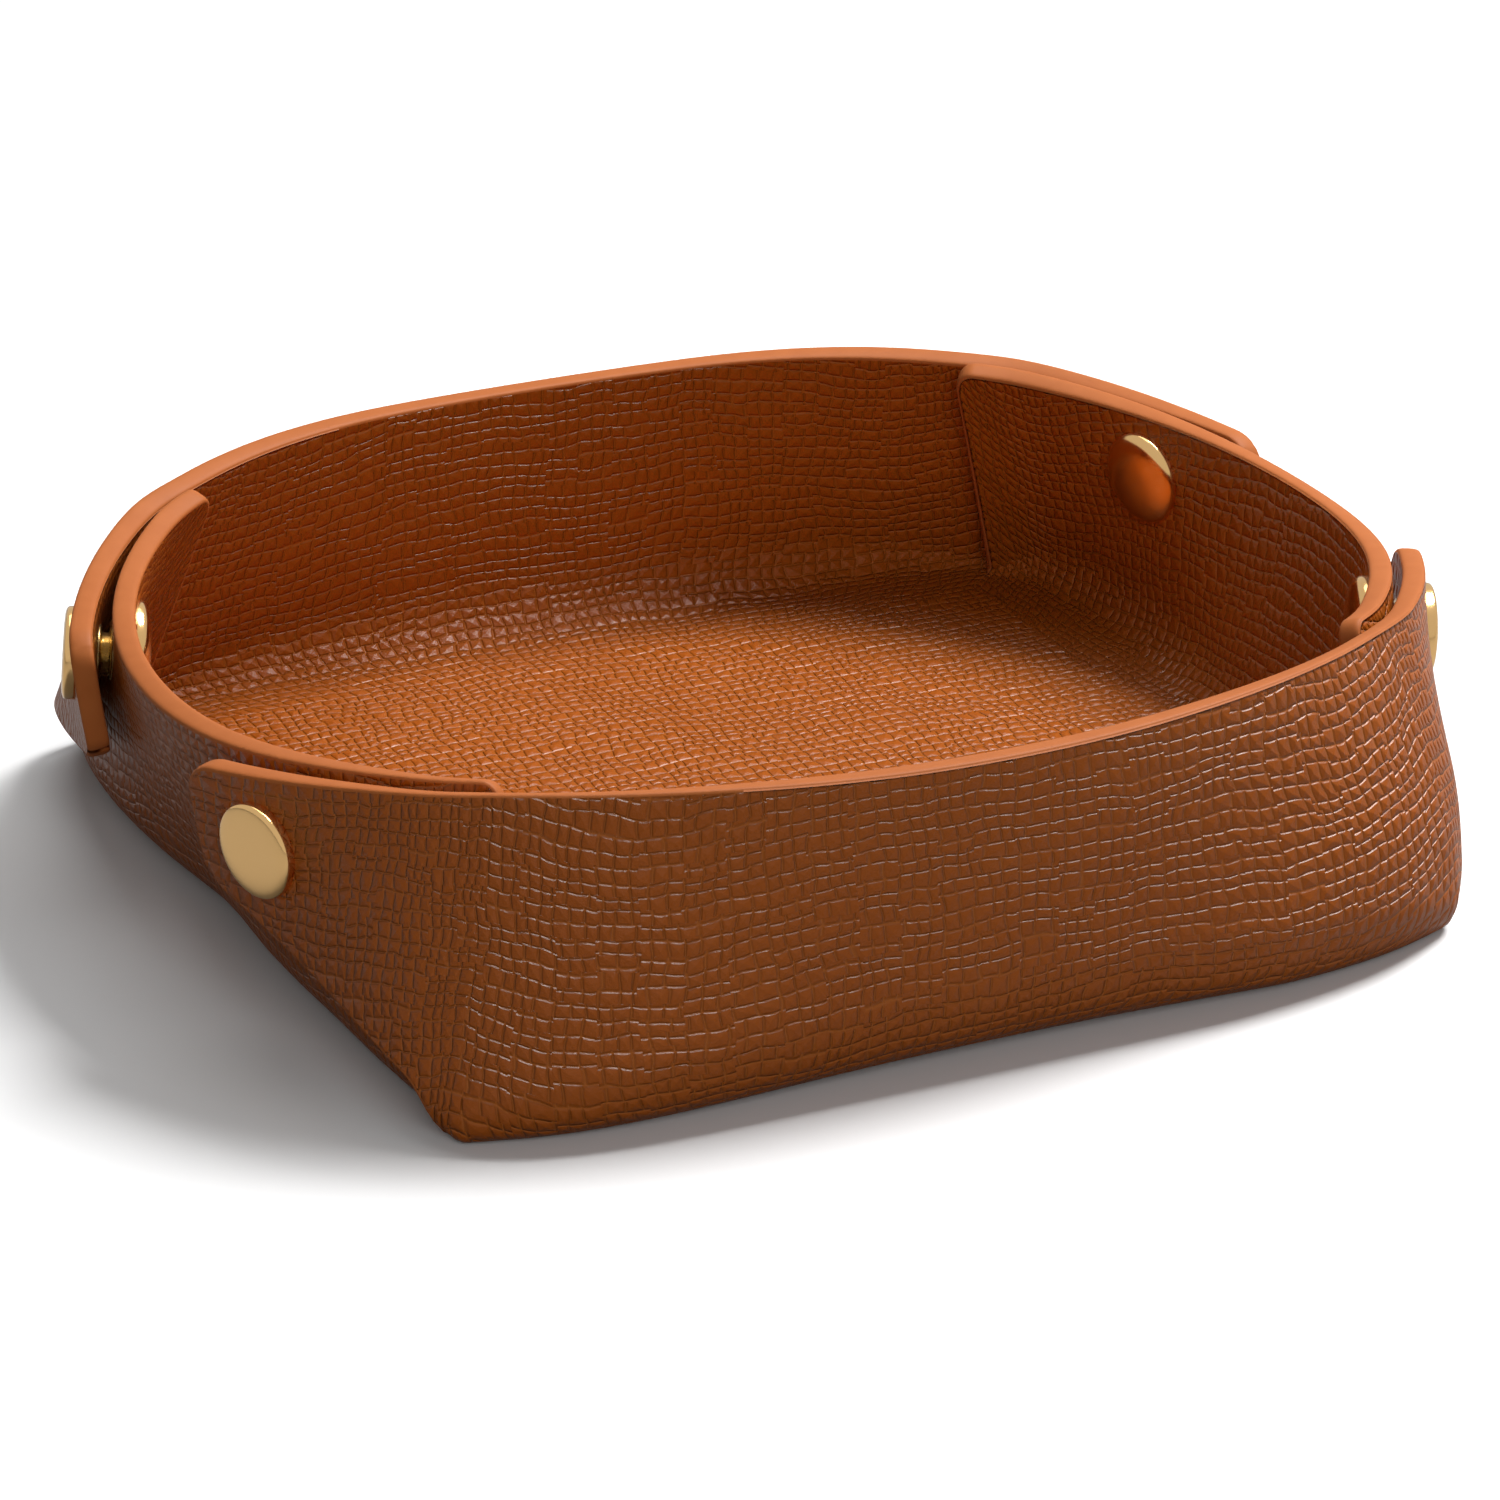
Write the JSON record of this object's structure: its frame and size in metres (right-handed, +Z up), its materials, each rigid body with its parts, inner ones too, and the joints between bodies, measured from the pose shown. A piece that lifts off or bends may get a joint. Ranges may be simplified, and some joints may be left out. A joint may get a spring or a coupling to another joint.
{
  "type": "leather valet tray",
  "caption": "Square leather valet tray with soft curved walls; ears of the front and back walls wrap the corners and snap to the side walls with gold press studs.",
  "frame": {"origin": "centre of the underside of the base, on the surface the tray stands on", "axes": "+Z up, +Y to the back, +X to the right; the ears lie over the left and right walls"},
  "size_m": [0.2026, 0.1892, 0.049],
  "materials": {
    "outer_leather": "tan cross-grain, satin",
    "lining_leather": "tan cross-grain, satin",
    "gold_caps": "pale gold plate, polished",
    "press_studs": "pale gold plate",
    "spring_wire": "drawn wire"
  },
  "bodies": {
    "tray": {"base_hide": "outer_leather", "base_lining": "lining_leather", "front_wall_hide": "outer_leather", "front_wall_lining": "lining_leather", "back_wall_hide": "outer_leather", "back_wall_lining": "lining_leather", "left_wall_hide": "outer_leather", "left_wall_lining": "lining_leather", "right_wall_hide": "outer_leather", "right_wall_lining": "lining_leather", "front_left_stud": "press_studs", "front_left_inner_cap": "gold_caps", "front_right_stud": "press_studs", "front_right_inner_cap": "gold_caps", "back_left_stud": "press_studs", "back_left_inner_cap": "gold_caps", "back_right_stud": "press_studs", "back_right_inner_cap": "gold_caps"},
    "front_left_ear": {"front_left_ear_hide": "outer_leather", "front_left_ear_lining": "lining_leather", "front_left_outer_cap": "gold_caps", "front_left_socket": "press_studs", "front_left_spring": "spring_wire"},
    "front_right_ear": {"front_right_ear_hide": "outer_leather", "front_right_ear_lining": "lining_leather", "front_right_outer_cap": "gold_caps", "front_right_socket": "press_studs", "front_right_spring": "spring_wire"},
    "back_left_ear": {"back_left_ear_hide": "outer_leather", "back_left_ear_lining": "lining_leather", "back_left_outer_cap": "gold_caps", "back_left_socket": "press_studs", "back_left_spring": "spring_wire"},
    "back_right_ear": {"back_right_ear_hide": "outer_leather", "back_right_ear_lining": "lining_leather", "back_right_outer_cap": "gold_caps", "back_right_socket": "press_studs", "back_right_spring": "spring_wire"}
  },
  "joints": [
    {"name": "front_left_ear_peel", "type": "hinge", "parent": "tray", "child": "front_left_ear", "pos_m": [-0.07212, -0.07212, 0.04847], "axis": [0.2592, 0.2592, 0.9304], "range_deg": [0, 60], "deforming": ["front_left_spring"]},
    {"name": "front_right_ear_peel", "type": "hinge", "parent": "tray", "child": "front_right_ear", "pos_m": [0.07212, -0.07212, 0.04847], "axis": [0.2592, -0.2592, -0.9304], "range_deg": [0, 60], "deforming": ["front_right_spring"]},
    {"name": "back_left_ear_peel", "type": "hinge", "parent": "tray", "child": "back_left_ear", "pos_m": [-0.07212, 0.07212, 0.04847], "axis": [-0.2592, 0.2592, -0.9304], "range_deg": [0, 60], "deforming": ["back_left_spring"]},
    {"name": "back_right_ear_peel", "type": "hinge", "parent": "tray", "child": "back_right_ear", "pos_m": [0.07212, 0.07212, 0.04847], "axis": [-0.2592, -0.2592, 0.9304], "range_deg": [0, 60], "deforming": ["back_right_spring"]}
  ]
}
